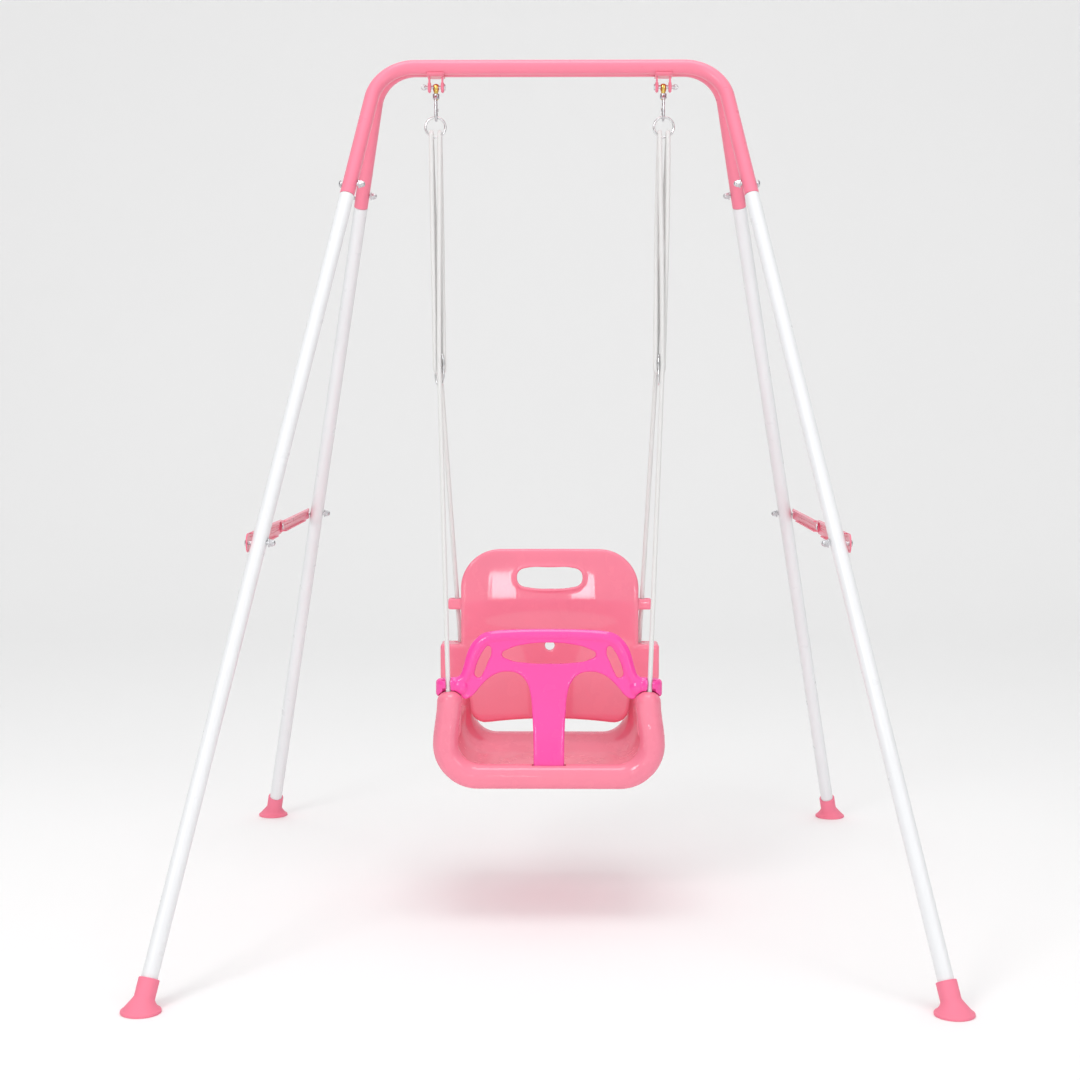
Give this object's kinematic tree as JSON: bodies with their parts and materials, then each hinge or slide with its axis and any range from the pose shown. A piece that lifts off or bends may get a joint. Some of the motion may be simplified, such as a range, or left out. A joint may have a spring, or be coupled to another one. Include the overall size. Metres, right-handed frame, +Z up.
{
  "type": "baby swing set",
  "caption": "Folding tubular A-frame swing with two adjustable ropes and a moulded toddler bucket seat with front guard and high backrest.",
  "frame": {"origin": "On the floor at the centre of the rectangle spanned by the four feet.", "axes": "+X to the right seen from the front, -Y towards the front (the guard's side), +Z up."},
  "size_m": [1.0986, 1.2044, 1.3],
  "materials": {
    "pink_coat": "gloss powder coat",
    "white_coat": "gloss powder coat",
    "pink_plastic": "glossy moulded plastic",
    "magenta_plastic": "glossy moulded plastic",
    "zinc_steel": "bright zinc-plated steel",
    "brass": "polished brass",
    "white_cord": "smooth braided cord"
  },
  "bodies": {
    "frame_front": {"front_arch_tube": "pink_coat", "front_left_leg": "white_coat", "front_left_foot": "pink_plastic", "front_left_splice_bolt": "zinc_steel", "front_left_splice_nut": "zinc_steel", "left_saddle": "pink_coat", "left_hanger_pin": "zinc_steel", "left_pin_ring": "zinc_steel", "left_brace_front_bolt": "zinc_steel", "left_brace_front_nut": "zinc_steel", "front_right_leg": "white_coat", "front_right_foot": "pink_plastic", "front_right_splice_bolt": "zinc_steel", "front_right_splice_nut": "zinc_steel", "right_saddle": "pink_coat", "right_hanger_pin": "zinc_steel", "right_pin_ring": "zinc_steel", "right_brace_front_bolt": "zinc_steel", "right_brace_front_nut": "zinc_steel"},
    "frame_rear": {"rear_arch_tube": "pink_coat", "rear_left_leg": "white_coat", "rear_left_foot": "pink_plastic", "rear_left_splice_bolt": "zinc_steel", "rear_left_splice_nut": "zinc_steel", "left_brace_rear_stub": "zinc_steel", "left_brace_rear_nut": "zinc_steel", "rear_right_leg": "white_coat", "rear_right_foot": "pink_plastic", "rear_right_splice_bolt": "zinc_steel", "rear_right_splice_nut": "zinc_steel", "right_brace_rear_stub": "zinc_steel", "right_brace_rear_nut": "zinc_steel"},
    "left_brace_front": {"left_brace_front_link": "pink_coat", "left_brace_rivet": "zinc_steel"},
    "left_brace_rear": {"left_brace_rear_link": "pink_coat", "left_brace_rear_stud": "zinc_steel"},
    "right_brace_front": {"right_brace_front_link": "pink_coat", "right_brace_rivet": "zinc_steel"},
    "right_brace_rear": {"right_brace_rear_link": "pink_coat", "right_brace_rear_stud": "zinc_steel"},
    "swing": {"seat_base": "pink_plastic", "left_swivel_eye": "brass", "left_snap_hook": "zinc_steel", "left_ring": "zinc_steel", "left_rope": "white_cord", "left_adjuster": "zinc_steel", "right_swivel_eye": "brass", "right_snap_hook": "zinc_steel", "right_ring": "zinc_steel", "right_rope": "white_cord", "right_adjuster": "zinc_steel"},
    "guard": {"guard": "magenta_plastic"},
    "backrest": {"backrest": "pink_plastic"},
    "left_gate": {"left_gate": "zinc_steel"},
    "right_gate": {"right_gate": "zinc_steel"}
  },
  "joints": [
    {"name": "fold", "type": "hinge", "parent": "frame_front", "child": "frame_rear", "pos_m": [0, 0.0125, 1.289], "axis": [-1, 0, 0], "range_deg": [0, 40]},
    {"name": "left_brace_front_pivot", "type": "hinge", "parent": "frame_front", "child": "left_brace_front", "pos_m": [-0.40323, -0.31957, 0.58615], "axis": [1, 0, 0], "range_deg": [0, 63.4]},
    {"name": "left_brace_middle_pivot", "type": "hinge", "parent": "left_brace_front", "child": "left_brace_rear", "pos_m": [-0.40323, 0, 0.58615], "axis": [-1, 0, 0], "range_deg": [0, 158.5]},
    {"name": "right_brace_front_pivot", "type": "hinge", "parent": "frame_front", "child": "right_brace_front", "pos_m": [0.40323, -0.31957, 0.58615], "axis": [1, 0, 0], "range_deg": [0, 63.4]},
    {"name": "right_brace_middle_pivot", "type": "hinge", "parent": "right_brace_front", "child": "right_brace_rear", "pos_m": [0.40323, 0, 0.58615], "axis": [-1, 0, 0], "range_deg": [0, 158.5]},
    {"name": "swing", "type": "hinge", "parent": "frame_front", "child": "swing", "pos_m": [0, 0, 1.2606], "axis": [1, 0, 0], "range_deg": [-45, 45]},
    {"name": "guard_slide", "type": "slide", "parent": "swing", "child": "guard", "axis": [0, 0.2502, 0.9682], "range_m": [0, 0.1]},
    {"name": "backrest_lift", "type": "slide", "parent": "swing", "child": "backrest", "axis": [0, -0.2511, 0.968], "range_m": [0, 0.1]},
    {"name": "left_gate_hinge", "type": "hinge", "parent": "swing", "child": "left_gate", "pos_m": [-0.174, 0.0085, 1.2449], "axis": [-1, 0, 0], "range_deg": [0, 25], "stiffness_Nm_per_rad": 0.02, "springref_deg": -17.19},
    {"name": "right_gate_hinge", "type": "hinge", "parent": "swing", "child": "right_gate", "pos_m": [0.174, 0.0085, 1.2449], "axis": [-1, 0, 0], "range_deg": [0, 25], "stiffness_Nm_per_rad": 0.02, "springref_deg": -17.19}
  ],
  "couplings": [
    {"joint": "left_brace_front_pivot", "follows": "fold", "ratio": 1.5812},
    {"joint": "left_brace_middle_pivot", "follows": "fold", "ratio": 3.9584},
    {"joint": "right_brace_front_pivot", "follows": "fold", "ratio": 1.5812},
    {"joint": "right_brace_middle_pivot", "follows": "fold", "ratio": 3.9584}
  ]
}
